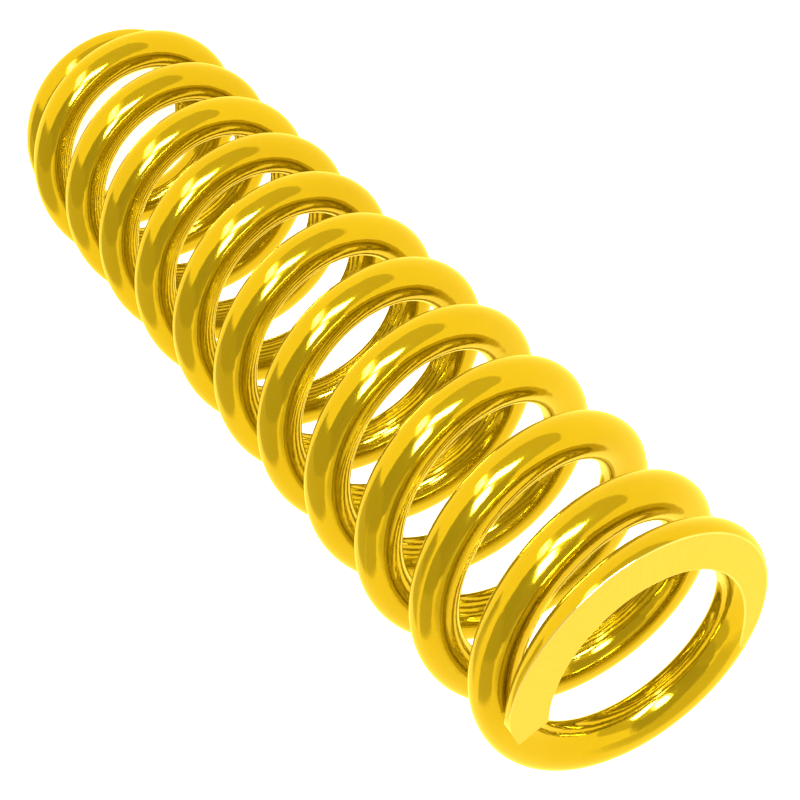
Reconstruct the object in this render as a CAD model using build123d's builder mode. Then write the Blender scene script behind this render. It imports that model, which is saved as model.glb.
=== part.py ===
from build123d import *
import math
import os

# A helical compression spring of round wire, wound right-handed, with closed and ground ends.
# It stands on its lower ground face, with +Z along the coil axis. One continuous wire makes the
# whole spring. It is divided into end coils and half turns, so that each stretch can move with
# the wire around it when the spring is compressed. Lengths are in millimetres, and a place on
# the wire is given in turns up from its lower tip.

# Wire and coils
wire_diameter = 12.7
bore_diameter = 56.7  # inside the body coils
lower_bore_diameter = 44.7  # inside the lower end coil, which is drawn in
free_length = 304.8
closed_coil_gap = 0.3  # between the end coils and their neighbours

# Winding
half_turns = 22  # between the two end coils
end_coil_turns = 0.812
lower_closed_turns = 0.895  # wound at the closed pitch
lower_rise_turns = 0.35  # over which the pitch opens
upper_closed_turns = 0.556
upper_rise_turns = 0.619
draw_in_turns = 0.68  # over which the lower end coil narrows
draw_in_middle = 0.802  # the middle of that stretch, in turns from the lower tip

# Ground ends
lower_tip_thickness = 3.04
upper_tip_thickness = 5.14
tip_slant = 0.28  # how far each cut end leans back towards the bore, for each millimetre across
tip_corner_width = 3.75  # taken off the outer corner of each cut end
tip_corner_length = 13.0

# How the wire is lofted
sections_per_turn = 24

# Values that follow from the sizes above
wire_radius = wire_diameter / 2
body_radius = (bore_diameter + wire_diameter) / 2
lower_end_radius = (lower_bore_diameter + wire_diameter) / 2
total_turns = half_turns / 2 + 2 * end_coil_turns
closed_pitch = wire_diameter + closed_coil_gap
lower_tip_height = lower_tip_thickness - wire_radius
upper_tip_height = free_length - upper_tip_thickness + wire_radius
lower_rise_start = lower_closed_turns
upper_rise_start = total_turns - upper_closed_turns - upper_rise_turns
open_turns = upper_rise_start + upper_rise_turns / 2 - lower_rise_start - lower_rise_turns / 2
open_rise = upper_tip_height - lower_tip_height - closed_pitch * total_turns
added_pitch = open_rise / open_turns


def eased(x):
    """From 0 to 1 as x goes from 0 to 1, level at both ends."""
    x = min(max(x, 0.0), 1.0)
    return x * x * (3 - 2 * x)


def eased_sum(x):
    """The area under eased, from 0 to x."""
    if x > 1:
        return x - 0.5
    x = max(x, 0.0)
    return x**3 - x**4 / 2


def coil_radius(turn):
    """The distance from the coil axis to the middle of the wire."""
    start = draw_in_middle - draw_in_turns / 2
    widening = eased((turn - start) / draw_in_turns)
    return lower_end_radius + (body_radius - lower_end_radius) * widening


def coil_height(turn):
    """The height of the middle of the wire: the pitch opens above the lower end and closes again
    below the upper end.
    """
    opened = lower_rise_turns * eased_sum((turn - lower_rise_start) / lower_rise_turns)
    closed = upper_rise_turns * eased_sum((turn - upper_rise_start) / upper_rise_turns)
    return lower_tip_height + closed_pitch * turn + added_pitch * (opened - closed)


def coil_angle(turn):
    """The angle about the axis, with the first half turn starting on +X."""
    return 2 * math.pi * (turn - end_coil_turns)


def wire_plane(turn):
    """The plane through the axis that holds the wire's round section, with its x outwards."""
    angle = coil_angle(turn)
    outward = Vector(math.cos(angle), math.sin(angle), 0)
    onward = Vector(-math.sin(angle), math.cos(angle), 0)
    middle = outward * coil_radius(turn) + Vector(0, 0, coil_height(turn))
    return Plane(origin=middle, x_dir=outward, z_dir=onward)


def wire_sections(start, end):
    """Round sections of the wire, evenly spaced, for a loft."""
    steps = max(2, round((end - start) * sections_per_turn))
    sections = []
    for step in range(steps + 1):
        with BuildSketch(wire_plane(start + (end - start) * step / steps)) as section:
            Circle(wire_radius)
        sections.append(section.sketch)
    return sections


def tip_cut(turn, towards_body):
    """The outline, seen along the axis, of what comes off a cut end: its slant and outer corner.

    towards_body is +1 at the lower tip and -1 at the upper: the way the angle grows into the wire.
    """
    angle = coil_angle(turn)
    outward = Vector(math.cos(angle), math.sin(angle), 0)
    below = Plane(origin=(0, 0, coil_height(turn) - wire_diameter), x_dir=outward, z_dir=(0, 0, 1))
    edge = coil_radius(turn) + wire_radius
    corner = edge - tip_corner_width
    inner = edge - wire_diameter - tip_corner_width
    clear = edge + tip_corner_width
    past = -towards_body * tip_corner_width
    slant_start = (inner, towards_body * tip_slant * (corner - inner))

    def around_edge(radius, length):
        """A point this far from the axis, and this far along the outer edge from the tip."""
        share = length / edge
        return (radius * math.cos(share), towards_body * radius * math.sin(share))

    middle = around_edge(edge - tip_corner_width / 3, tip_corner_length / 2)
    end = around_edge(edge, tip_corner_length)
    with BuildSketch(below) as outline:
        with BuildLine():
            Line(slant_start, (corner, 0))
            ThreePointArc((corner, 0), middle, end)
            Polyline(end, (clear, end[1]), (clear, past), (inner, past), slant_start)
        make_face()
    return outline.sketch


os.makedirs("parts", exist_ok=True)

# Lower end coil: closed, drawn in, and ground flat underneath
with BuildPart() as lower_end_coil:
    loft(wire_sections(0, end_coil_turns))
    split(bisect_by=Plane.XY, keep=Keep.TOP)
    extrude(tip_cut(0, 1), amount=2 * wire_diameter, mode=Mode.SUBTRACT)
lower_end_coil.part.label = "lower_end_coil"
export_step(lower_end_coil.part, "parts/lower_end_coil.step")

# Body coils: each is two nodes, its rear half on the +Y side and its front half on the -Y side
for number in range(half_turns):
    start = end_coil_turns + number / 2
    side = "front" if number % 2 else "rear"
    name = f"coil_{number // 2 + 1:02d}_{side}"
    with BuildPart() as half_coil:
        loft(wire_sections(start, start + 0.5))
    half_coil.part.label = name
    export_step(half_coil.part, f"parts/{name}.step")

# Upper end coil: closed, and ground flat on top
with BuildPart() as upper_end_coil:
    loft(wire_sections(total_turns - end_coil_turns, total_turns))
    split(bisect_by=Plane.XY.offset(free_length), keep=Keep.BOTTOM)
    extrude(tip_cut(total_turns, -1), amount=2 * wire_diameter, mode=Mode.SUBTRACT)
upper_end_coil.part.label = "upper_end_coil"
export_step(upper_end_coil.part, "parts/upper_end_coil.step")
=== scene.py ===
import math

import bmesh
import bpy
import numpy as np
from mathutils import Matrix, Vector


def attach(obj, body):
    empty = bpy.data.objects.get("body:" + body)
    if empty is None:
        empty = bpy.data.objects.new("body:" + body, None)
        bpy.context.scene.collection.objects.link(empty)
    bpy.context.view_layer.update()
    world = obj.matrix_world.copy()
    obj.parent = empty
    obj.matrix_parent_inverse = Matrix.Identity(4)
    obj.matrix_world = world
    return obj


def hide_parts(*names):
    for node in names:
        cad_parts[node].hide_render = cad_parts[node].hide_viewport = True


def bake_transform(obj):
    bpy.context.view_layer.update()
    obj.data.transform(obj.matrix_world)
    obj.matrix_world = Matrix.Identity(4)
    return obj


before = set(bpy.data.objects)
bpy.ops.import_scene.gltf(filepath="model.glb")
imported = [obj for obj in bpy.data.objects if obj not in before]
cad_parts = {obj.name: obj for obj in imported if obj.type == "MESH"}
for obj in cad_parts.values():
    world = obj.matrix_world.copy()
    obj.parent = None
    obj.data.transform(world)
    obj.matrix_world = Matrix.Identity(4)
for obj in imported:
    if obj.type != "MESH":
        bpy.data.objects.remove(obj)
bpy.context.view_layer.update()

MM = 0.001

# The wire, as in the CAD: millimetres, and places on the wire in turns up from its lower tip
wire_radius = 6.35
body_radius = 34.7
lower_end_radius = 28.7
free_length = 304.8
closed_pitch = 13.0
end_coil_turns = 0.812
half_turns = 22
lower_tip_thickness = 3.04
upper_tip_thickness = 5.14
lower_rise_start = 0.895
lower_rise_turns = 0.35
upper_closed_turns = 0.556
upper_rise_turns = 0.619
draw_in_turns = 0.68
draw_in_middle = 0.802
tip_slant = 0.28
tip_corner_width = 3.75
tip_corner_length = 13.0

total_turns = half_turns / 2 + 2 * end_coil_turns
lower_tip_height = lower_tip_thickness - wire_radius
upper_tip_height = free_length - upper_tip_thickness + wire_radius
upper_rise_start = total_turns - upper_closed_turns - upper_rise_turns
open_turns = upper_rise_start + upper_rise_turns / 2 - lower_rise_start - lower_rise_turns / 2
open_rise = upper_tip_height - lower_tip_height - closed_pitch * total_turns
added_pitch = open_rise / open_turns

# How finely the wire is meshed
around_steps = 72
steps_per_turn = 200
flat_points = 9  # across a ground flat
normal_step = 1e-4  # turns either way, for a direction along the wire
merge_distance = 1e-7  # metres

# The rounded edges left by grinding and cutting
edge_round = 0.35
tip_edge_shares = (0, 0.15, 0.35, 0.6, 0.85, 1.0)  # of the quarter circle round a cut end
bend_shares = (0.25, 0.5, 0.75)  # of the bend from the round wire onto a flat
widest_bend = 0.4  # of half the flat's width
corner_power = 1.6  # how sharply the outer corner of a cut end begins

# The rings of an end coil: closer near its tip, and where its flat fades out
fine_start = 0.5
fine_end = 14
fine_step = 0.25
fade_turns = 0.03
fade_rings = 12
least_ring_gap = 1e-6  # turns
level_samples = 4001  # for finding where the grinding leaves the wire

up_axis = np.array([0, 0, 1.0])


def eased(x):
    """From 0 to 1 as x goes from 0 to 1, level at both ends."""
    x = np.clip(x, 0, 1)
    return x * x * (3 - 2 * x)


def eased_sum(x):
    """The area under eased, from 0 to x."""
    inside = np.clip(x, 0, 1)
    return inside**3 - inside**4 / 2 + np.maximum(x - 1, 0)


def coil_radius(turn):
    """The distance from the coil axis to the middle of the wire."""
    start = draw_in_middle - draw_in_turns / 2
    widening = eased((turn - start) / draw_in_turns)
    return lower_end_radius + (body_radius - lower_end_radius) * widening


def coil_height(turn):
    """The height of the middle of the wire."""
    opened = lower_rise_turns * eased_sum((turn - lower_rise_start) / lower_rise_turns)
    closed = upper_rise_turns * eased_sum((turn - upper_rise_start) / upper_rise_turns)
    return lower_tip_height + closed_pitch * turn + added_pitch * (opened - closed)


def coil_angle(turn):
    """The angle about the axis, with the first half turn starting on +X."""
    return 2 * math.pi * (turn - end_coil_turns)


def outward(turn):
    """The level direction from the coil axis to the wire."""
    angle = coil_angle(turn)
    return np.stack([np.cos(angle), np.sin(angle), 0 * angle], -1)


def place(turn, across, up):
    """A point of the wire's section at a turn, across and up from the wire's middle."""
    from_axis = (coil_radius(turn) + across)[..., None]
    height = (coil_height(turn) + up)[..., None]
    return outward(turn) * from_axis + up_axis * height


def round_normal(turn, around):
    """The outward direction of the round wire's surface."""
    across = wire_radius * np.cos(around)
    up = wire_radius * np.sin(around)
    along = place(turn + normal_step, across, up) - place(turn - normal_step, across, up)
    rim = outward(turn) * (-np.sin(around))[..., None] + up_axis * np.cos(around)[..., None]
    normal = np.cross(along, rim)
    return normal / np.linalg.norm(normal, axis=-1, keepdims=True)


def build(name, points, normals, wire_space, ground):
    """A closed tube from rings of points, with a cap on each end.

    wire_space is each point's place in the straightened wire. ground is 0 on the round wire and
    1 on a ground flat.
    """
    rings, count = ground.shape
    mesh = bpy.data.meshes.new(name)
    bm = bmesh.new()
    space_layer = bm.verts.layers.float_vector.new("wire_space")
    normal_layer = bm.verts.layers.float_vector.new("soft_normal")
    ground_layer = bm.verts.layers.float.new("ground")
    verts = []
    for point, normal, space, share in zip(
        (points.reshape(-1, 3) * MM).tolist(),
        normals.reshape(-1, 3).tolist(),
        (wire_space.reshape(-1, 3) * MM).tolist(),
        ground.reshape(-1).tolist(),
    ):
        vert = bm.verts.new(point)
        vert[space_layer] = space
        vert[normal_layer] = normal
        vert[ground_layer] = share
        verts.append(vert)
    for ring in range(rings - 1):
        for step in range(count):
            here = ring * count + step
            beside = ring * count + (step + 1) % count
            bm.faces.new((verts[here], verts[beside], verts[beside + count], verts[here + count]))
    bm.faces.new(verts[:count])
    bm.faces.new(verts[(rings - 1) * count :])
    bmesh.ops.remove_doubles(bm, verts=bm.verts, dist=merge_distance)
    bmesh.ops.dissolve_degenerate(bm, edges=bm.edges, dist=merge_distance)
    bmesh.ops.recalc_face_normals(bm, faces=bm.faces)
    bm.to_mesh(mesh)
    bm.free()
    soft_normals = np.zeros(len(mesh.vertices) * 3, np.float32)
    mesh.attributes["soft_normal"].data.foreach_get("vector", soft_normals)
    corner_verts = np.zeros(len(mesh.loops), np.int32)
    mesh.loops.foreach_get("vertex_index", corner_verts)
    corner_normals = soft_normals.reshape(-1, 3)[corner_verts]
    for polygon in mesh.polygons:
        is_cap = len(polygon.vertices) > 4
        if is_cap:
            for loop in polygon.loop_indices:
                corner_normals[loop] = polygon.normal
    lengths = np.linalg.norm(corner_normals, axis=1, keepdims=True)
    corner_normals = corner_normals / np.maximum(lengths, 1e-9)
    mesh.polygons.foreach_set("use_smooth", [True] * len(mesh.polygons))
    mesh.normals_split_custom_set(corner_normals.tolist())
    mesh.attributes.remove(mesh.attributes["soft_normal"])
    return mesh


def half_coil(name, start, end):
    """The round wire from one turn to another."""
    steps = round((end - start) * steps_per_turn)
    turns = np.linspace(start, end, steps + 1)
    angles = np.arange(around_steps) * 2 * math.pi / around_steps
    turn, around = np.meshgrid(turns, angles, indexing="ij")
    across = wire_radius * np.cos(around)
    up = wire_radius * np.sin(around)
    space = np.stack([across, up, turn * 2 * math.pi * body_radius], -1)
    return build(name, place(turn, across, up), round_normal(turn, around), space, 0 * turn)


def ring_places(tip, other, side, flat_height, per_turn):
    """How far each ring of an end coil is from its tip, in turns, and how far it shrinks there."""
    length = abs(other - tip)
    along = tip + math.copysign(1, other - tip) * np.linspace(0, length, level_samples)
    flat_level = side * (flat_height - coil_height(along))
    leaves = float(along[np.argmax(flat_level > wire_radius)])
    rounding = np.array(tip_edge_shares) * math.pi / 2
    rounded = edge_round * (1 - np.cos(rounding)) / per_turn
    shrunk = edge_round * (1 - np.sin(rounding))
    fine = np.arange(fine_start, fine_end, fine_step) / per_turn
    coarse = np.arange(1, int(length * steps_per_turn)) / steps_per_turn
    coarse = coarse[coarse > fine_end / per_turn]
    fading = abs(leaves - tip) - fade_turns * (np.arange(0, fade_rings) / fade_rings) ** 2
    distance = np.concatenate([rounded, fine, coarse, fading, [length]])
    inset = np.concatenate([shrunk, np.zeros(len(distance) - len(shrunk))])
    order = np.argsort(distance)
    distance = distance[order]
    inset = inset[order]
    keep = np.concatenate([[True], np.diff(distance) > least_ring_gap])
    return distance[keep], inset[keep]


def ground_section(radius, level):
    """The outline of a round section that is cut off flat at a level above its middle.

    Gives how far each point is across and up, the angle that the round wire faces there, and
    how far the point belongs to the flat, from 0 to 1.
    """
    half = math.sqrt(max(radius * radius - level * level, 0))
    soft = min(edge_round, widest_bend * half)
    start = math.asin(level / radius) - soft / radius
    angles = start - np.linspace(0, 1, around_steps + 1) * (math.pi + 2 * start)
    across = [*(radius * np.cos(angles))]
    up = [*(radius * np.sin(angles))]
    facing = [*angles]
    flatness = [0.0] * len(angles)
    arc_end = (across[-1], up[-1])

    def add_bend(shares, way, angle):
        """The bend between the round wire and the flat, on the +1 or -1 side."""
        for t in shares:
            on_arc = (1 - t) ** 2
            at_corner = 2 * t * (1 - t)
            across.append(-way * (on_arc * arc_end[0] + at_corner * -half + t * t * (soft - half)))
            up.append(on_arc * arc_end[1] + at_corner * level + t * t * level)
            facing.append(angle)
            flatness.append(t)

    add_bend(bend_shares, -1, angles[-1])
    for share in np.linspace(0, 1, flat_points):
        across.append(-half + soft + (2 * half - 2 * soft) * share)
        up.append(level)
        facing.append(math.pi / 2)
        flatness.append(1.0)
    add_bend(bend_shares[::-1], 1, angles[0])
    across, up, facing, flatness = map(np.array, (across, up, facing, flatness))
    if half == 0:
        flatness[:] = 0
        facing[len(angles) :] = math.pi / 2
    return across, up, facing, flatness


def end_coil(name, tip, other, side):
    """An end coil, from its cut tip to its other end.

    It is ground flat on top where side is 1, and underneath where side is -1.
    """
    inward = math.copysign(1, other - tip)
    flat_height = free_length if side > 0 else 0.0
    per_turn = 2 * math.pi * float(coil_radius(tip))
    rings, normals, spaces, ground_rows = [], [], [], []
    for distance, gone in zip(*ring_places(tip, other, side, flat_height, per_turn)):
        turn = tip + inward * distance
        radius = wire_radius - gone
        level = min(side * (flat_height - float(coil_height(turn))) - gone, radius)
        across, up, facing, flatness = ground_section(radius, level)
        # the rounded outer corner of the cut end, and its slant
        share = max(0.0, 1 - abs(turn - tip) * per_turn / tip_corner_length)
        edge = wire_radius - tip_corner_width * share**corner_power
        slope = tip_corner_width / tip_corner_length * corner_power * share ** (corner_power - 1)
        on_wall = (across > edge - gone) & (flatness < 1)
        across = np.minimum(across, edge - gone)
        set_back = tip_slant * np.maximum(wire_radius - tip_corner_width - across, 0) * share
        row = turn + inward * set_back / per_turn
        ring = place(row, across, side * up)
        ring[:, 2] = side * np.minimum(side * ring[:, 2], side * flat_height - gone)
        ring[flatness == 1, 2] = flat_height - side * gone
        normal = round_normal(row, side * facing) * (1 - flatness)[:, None]
        normal = normal + side * up_axis * flatness[:, None]
        wall = outward(row[on_wall])
        tipward = np.cross(-inward * up_axis, wall)
        normal[on_wall] = wall + slope * tipward
        normal /= np.linalg.norm(normal, axis=1, keepdims=True)
        rings.append(ring)
        normals.append(normal)
        ground_rows.append(flatness)
        spaces.append(np.stack([across, side * up, row * 2 * math.pi * body_radius], -1))
    return build(name, *map(np.array, (rings, normals, spaces, ground_rows)))


def add_piece(mesh, node, material):
    """Put a mesh in the scene in place of a CAD node."""
    piece = bpy.data.objects.new(mesh.name, mesh)
    bpy.context.scene.collection.objects.link(piece)
    mesh.materials.append(material)
    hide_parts(node)
    return piece


def new_material(name):
    """A material with its nodes, its links and its main shader."""
    material = bpy.data.materials.new(name)
    material.use_nodes = True
    nodes = material.node_tree.nodes
    return material, nodes, material.node_tree.links, nodes["Principled BSDF"]


def add(kind, inputs=None, **settings):
    """A node of coated_wire, with its settings, and a value or a link for each named input."""
    node = nodes.new(kind)
    for key, value in settings.items():
        setattr(node, key, value)
    for key, value in (inputs or {}).items():
        if isinstance(value, bpy.types.NodeSocket):
            links.new(value, node.inputs[key])
        else:
            node.inputs[key].default_value = value
    return node


def noise(scales, detail, roughness=0.5):
    """Noise in the straightened wire's space, with cells per metre across, up and along the wire."""
    stretched = add("ShaderNodeVectorMath", {0: wire_space, 1: scales}, operation="MULTIPLY")
    return add(
        "ShaderNodeTexNoise",
        {"Vector": stretched.outputs[0], "Scale": 1.0, "Detail": detail, "Roughness": roughness},
    ).outputs["Fac"]


def mapped(value, low, high, to_low, to_high):
    """A value moved from one range to another, and kept inside it."""
    inputs = {"Value": value, "From Min": low, "From Max": high, "To Min": to_low, "To Max": to_high}
    return add("ShaderNodeMapRange", inputs).outputs["Result"]


def maths(operation, first, second):
    """Two values put together."""
    return add("ShaderNodeMath", {0: first, 1: second}, operation=operation).outputs[0]


def mixed(share, first, second):
    """A colour from first to second as share goes from 0 to 1."""
    node = add("ShaderNodeMix", data_type="RGBA")
    links.new(share, node.inputs["Factor"])
    for key, value in ((6, first), (7, second)):
        if isinstance(value, bpy.types.NodeSocket):
            links.new(value, node.inputs[key])
        else:
            node.inputs[key].default_value = value
    return node.outputs[2]


# Candy yellow over bright wire: a little orange peel, faint drawing lines, uneven depth of colour
coat_shallow = (0.51, 0.413, 0.008, 1)
coat_deep = (0.47, 0.372, 0.006, 1)
speck_colour = (0.36, 0.27, 0.005, 1)
ground_light = (0.60, 0.51, 0.14, 1)
ground_dark = (0.57, 0.475, 0.11, 1)
edge_wear_and_highlight_colour = (0.82, 0.76, 0.52, 1)  # pale along the edges of a flat: partly worn coating, partly a painted highlight on the rounded edge
peel_height = 0.055 * MM
fine_peel_height = 0.006 * MM
drawing_height = 0.004 * MM
grinding_height = 0.006 * MM

wire_material, nodes, links, shader = new_material("coated_wire")
wire_space = add("ShaderNodeAttribute", attribute_name="wire_space").outputs["Vector"]
ground = add("ShaderNodeAttribute", attribute_name="ground").outputs["Fac"]

peel = noise((420, 420, 260), 2.0)
fine_peel = noise((1500, 1500, 1100), 2.0)
drawing = noise((2600, 2600, 25), 3.0)
grinding = noise((180, 180, 5200), 2.0)
cloud = noise((60, 60, 22), 4.0, 0.6)
specks = noise((2400, 2400, 2400), 1.0)

on_flat = mapped(ground, 0.6, 1.0, 0.0, 1.0)
on_edge = maths("MULTIPLY", mapped(ground, 0.0, 0.3, 0.0, 1.0), mapped(ground, 0.8, 1.0, 1.0, 0.0))

depth = mapped(cloud, 0.35, 0.7, 0.0, 1.0)
coat_colour = mixed(depth, coat_shallow, coat_deep)
speck = mapped(specks, 0.74, 0.8, 0.0, 0.6)
speckled = mixed(speck, coat_colour, speck_colour)
ground_colour = mixed(mapped(grinding, 0.3, 0.7, 0.0, 1.0), ground_light, ground_dark)
with_flat = mixed(on_flat, speckled, ground_colour)
# painted highlight: the flats' rounded edges are mixed toward a pale colour, standing for worn coating
# and for a reflected highlight on the edge
edge_wear_and_highlight = maths("MULTIPLY", on_edge, mapped(cloud, 0.3, 0.55, 0.35, 0.9))
links.new(mixed(edge_wear_and_highlight, with_flat, edge_wear_and_highlight_colour), shader.inputs["Base Color"])

smooth_part = maths("ADD", mapped(cloud, 0.3, 0.7, 0.07, 0.12), maths("MULTIPLY", speck, 0.25))
rough_part = maths("MULTIPLY", on_flat, mapped(grinding, 0.3, 0.7, 0.22, 0.34))
links.new(maths("ADD", smooth_part, rough_part), shader.inputs["Roughness"])
shader.inputs["Metallic"].default_value = 0.88
shader.inputs["Coat Weight"].default_value = 1.0
shader.inputs["Coat IOR"].default_value = 1.4
shader.inputs["Coat Roughness"].default_value = 0.04

height = maths("MULTIPLY", peel, peel_height)
height = maths("ADD", height, maths("MULTIPLY", fine_peel, fine_peel_height))
height = maths("ADD", height, maths("MULTIPLY", drawing, drawing_height))
marks = maths("MULTIPLY", on_flat, maths("MULTIPLY", grinding, grinding_height))
height = maths("ADD", height, marks)
bump = add("ShaderNodeBump", {"Height": height, "Strength": 1.0, "Distance": 1.0})
links.new(bump.outputs["Normal"], shader.inputs["Normal"])

# The pieces
lower = end_coil("wire_lower_end", 0.0, end_coil_turns, -1)
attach(add_piece(lower, "lower_end_coil", wire_material), "lower_end")
for number in range(half_turns):
    side_name = "front" if number % 2 else "rear"
    node = f"coil_{number // 2 + 1:02d}_{side_name}"
    start_turn = end_coil_turns + number / 2
    mesh = half_coil(f"wire_{node}", start_turn, start_turn + 0.5)
    piece = add_piece(mesh, node, wire_material)
    if number == 0:
        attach(piece, "lower_end")
        continue
    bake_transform(piece)
upper = end_coil("wire_upper_end", total_turns, total_turns - end_coil_turns, 1)
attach(add_piece(upper, "upper_end_coil", wire_material), "upper_end")

# Floor
bpy.ops.mesh.primitive_plane_add(size=12, location=(0, 0, 0))
floor = bpy.context.object
floor.name = "floor"
floor_material, _, _, floor_shader = new_material("floor")
floor_shader.inputs["Base Color"].default_value = (0.9, 0.9, 0.9, 1)
floor_shader.inputs["Roughness"].default_value = 0.9
floor_shader.inputs["Emission Color"].default_value = (1, 1, 1, 1)
floor_shader.inputs["Emission Strength"].default_value = 0.75
floor.visible_glossy = False
floor.data.materials.append(floor_material)

# World and view
world = bpy.data.worlds.new("studio")
bpy.context.scene.world = world
world.use_nodes = True
world.node_tree.nodes["Background"].inputs["Color"].default_value = (1, 1, 1, 1)
world.node_tree.nodes["Background"].inputs["Strength"].default_value = 1.0
bpy.context.scene.view_settings.view_transform = "Standard"

# A wide light overhead keeps the floor white
overhead_data = bpy.data.lights.new("overhead", "AREA")
overhead_data.shape = "SQUARE"
overhead_data.size = 3.0
overhead_data.energy = 60
overhead = bpy.data.objects.new("overhead", overhead_data)
overhead.location = (0, 0, 2.5)
overhead.visible_glossy = False
overhead.visible_camera = False
bpy.context.scene.collection.objects.link(overhead)


def reflection_only(thing):
    """Let a thing show in reflections and nowhere else."""
    for ray in ("camera", "diffuse", "transmission", "volume_scatter", "shadow"):
        setattr(thing, f"visible_{ray}", False)


warm = (1.0, 0.735, 0.13, 1)
white = (1, 1, 1, 1)
spring_middle = Vector((0, 0, free_length / 2 * MM))


def card(
    name, azimuth, elevation, distance, centre, size, level, soft, tilt=0, colour=warm, one_sided=False
):
    """A soft-edged card facing the spring, seen only as a reflection.

    It stands in the plane at this distance from the spring's middle, in the direction given in
    degrees. Its centre is measured in metres in that plane, to the right and up as seen from
    behind the card, looking at the spring. It is turned in that plane by tilt degrees. Its edges
    fade over soft metres. A one-sided card glows only on the side away from the spring's middle.
    """
    azimuth, elevation = math.radians(azimuth), math.radians(elevation)
    level_part = math.cos(elevation)
    away = Vector(
        (level_part * math.cos(azimuth), level_part * math.sin(azimuth), math.sin(elevation))
    )
    upwards = (Vector((0, 0, 1)) - away * away.z).normalized()
    rightwards = upwards.cross(away)
    middle = spring_middle + away * distance + rightwards * centre[0] + upwards * centre[1]
    turn = math.radians(tilt)
    x_axis = rightwards * math.cos(turn) + upwards * math.sin(turn)
    y_axis = upwards * math.cos(turn) - rightwards * math.sin(turn)
    half_x, half_y = size[0] / 2, size[1] / 2
    mesh = bpy.data.meshes.new(name)
    corners = [(x * half_x, y * half_y, 0) for x, y in ((-1, -1), (1, -1), (1, 1), (-1, 1))]
    mesh.from_pydata(corners, [], [(0, 1, 2, 3)])
    sheet = bpy.data.objects.new(name, mesh)
    sheet.matrix_world = Matrix((x_axis, y_axis, x_axis.cross(y_axis))).transposed().to_4x4()
    sheet.matrix_world.translation = middle
    bpy.context.scene.collection.objects.link(sheet)

    material = bpy.data.materials.new(name)
    material.use_nodes = True
    tree = material.node_tree
    tree.nodes.clear()
    spot = tree.nodes.new("ShaderNodeTexCoord")
    parts = tree.nodes.new("ShaderNodeSeparateXYZ")
    tree.links.new(spot.outputs["Object"], parts.inputs[0])
    shares = []
    for axis, half in (("X", half_x), ("Y", half_y)):
        off_centre = tree.nodes.new("ShaderNodeMath")
        off_centre.operation = "ABSOLUTE"
        tree.links.new(parts.outputs[axis], off_centre.inputs[0])
        fade = tree.nodes.new("ShaderNodeMapRange")
        fade.interpolation_type = "SMOOTHSTEP"
        fade.inputs["From Min"].default_value = half - soft
        fade.inputs["From Max"].default_value = half
        fade.inputs["To Min"].default_value = 1
        fade.inputs["To Max"].default_value = 0
        tree.links.new(off_centre.outputs[0], fade.inputs["Value"])
        shares.append(fade.outputs["Result"])
    both = tree.nodes.new("ShaderNodeMath")
    both.operation = "MULTIPLY"
    tree.links.new(shares[0], both.inputs[0])
    tree.links.new(shares[1], both.inputs[1])
    if one_sided:
        side_seen = tree.nodes.new("ShaderNodeNewGeometry")
        front_only = tree.nodes.new("ShaderNodeMath")
        front_only.operation = "SUBTRACT"
        front_only.use_clamp = True
        tree.links.new(both.outputs[0], front_only.inputs[0])
        tree.links.new(side_seen.outputs["Backfacing"], front_only.inputs[1])
        both = front_only
    clear = tree.nodes.new("ShaderNodeBsdfTransparent")
    glow = tree.nodes.new("ShaderNodeEmission")
    glow.inputs["Strength"].default_value = level
    glow.inputs["Color"].default_value = colour
    blend = tree.nodes.new("ShaderNodeMixShader")
    tree.links.new(both.outputs[0], blend.inputs[0])
    tree.links.new(clear.outputs[0], blend.inputs[1])
    tree.links.new(glow.outputs[0], blend.inputs[2])
    output = tree.nodes.new("ShaderNodeOutputMaterial")
    tree.links.new(blend.outputs[0], output.inputs["Surface"])
    mesh.materials.append(material)
    reflection_only(sheet)


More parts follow.
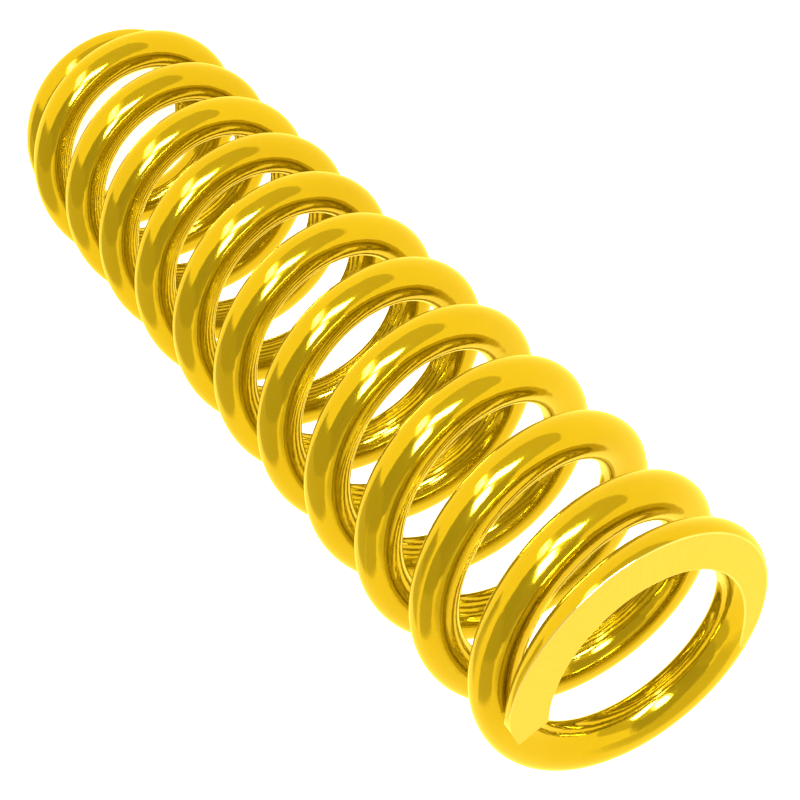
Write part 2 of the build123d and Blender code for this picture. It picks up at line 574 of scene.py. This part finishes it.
# A warm tent around the spring
bpy.ops.mesh.primitive_uv_sphere_add(radius=0.9, location=spring_middle)
tent = bpy.context.object
tent.name = "tent"
tent_material = bpy.data.materials.new("tent")
tent_material.use_nodes = True
tent_material.node_tree.nodes.clear()
tent_glow = tent_material.node_tree.nodes.new("ShaderNodeEmission")
tent_glow.inputs["Color"].default_value = warm
tent_glow.inputs["Strength"].default_value = 1.86
tent_output = tent_material.node_tree.nodes.new("ShaderNodeOutputMaterial")
tent_material.node_tree.links.new(tent_glow.outputs[0], tent_output.inputs["Surface"])
tent.data.materials.append(tent_material)
reflection_only(tent)

# Softboxes around the camera, and the darker room behind them
card("softbox_left", 212, 30, 0.440, (-0.090, 0.028), (0.25, 0.115), 64, 0.045, -43, white)
card("softbox_right", 212, 30, 0.442, (0.035, 0.120), (0.14, 0.19), 48, 0.05, 0, white)
card("softbox_low", 212, 30, 0.444, (0.050, -0.250), (0.12, 0.36), 10, 0.055, 0, white)
card("room_top", 212, 30, 0.470, (0.46, 0.72), (1.34, 1.04), 0.70, 0.04)
card("room_right", 212, 30, 0.475, (0.62, 0.07), (1.10, 0.46), 0.66, 0.06)
card("room_left", 212, 30, 0.480, (-0.42, -0.08), (0.86, 0.90), 1.12, 0.08)
card("room_corner", 280, 5, 0.6, (0.0, 0.0), (0.38, 3.0), 0.80, 0.06)
card("room_side", 308, 0, 0.62, (0.0, 0.0), (0.50, 3.0), 1.05, 0.10)
card("shelf", 290, 89.9, 0.085, (0.0, -0.33), (0.6, 0.5), 1.9, 0.08, one_sided=True)
card("room_ceiling", 350, 78, 0.64, (0.0, 0.0), (0.7, 0.6), 1.2, 0.15)

# Camera
camera_place = Vector((-0.26021, -0.26547, 0.50828))
forward = Vector((0.52628, 0.54534, -0.65245))
upright = Vector((-0.82690, 0.14920, -0.54220))
right = forward.cross(upright).normalized()
upright = right.cross(forward).normalized()
camera_data = bpy.data.cameras.new("camera")
camera_data.sensor_width = 36
camera_data.lens = 76.688
camera_data.shift_y = -0.00228
camera_data.clip_start = 0.01
camera_data.clip_end = 50
camera = bpy.data.objects.new("camera", camera_data)
camera.matrix_world = Matrix(
    (
        (right.x, upright.x, -forward.x, camera_place.x),
        (right.y, upright.y, -forward.y, camera_place.y),
        (right.z, upright.z, -forward.z, camera_place.z),
        (0, 0, 0, 1),
    )
)
bpy.context.scene.collection.objects.link(camera)
bpy.context.scene.camera = camera
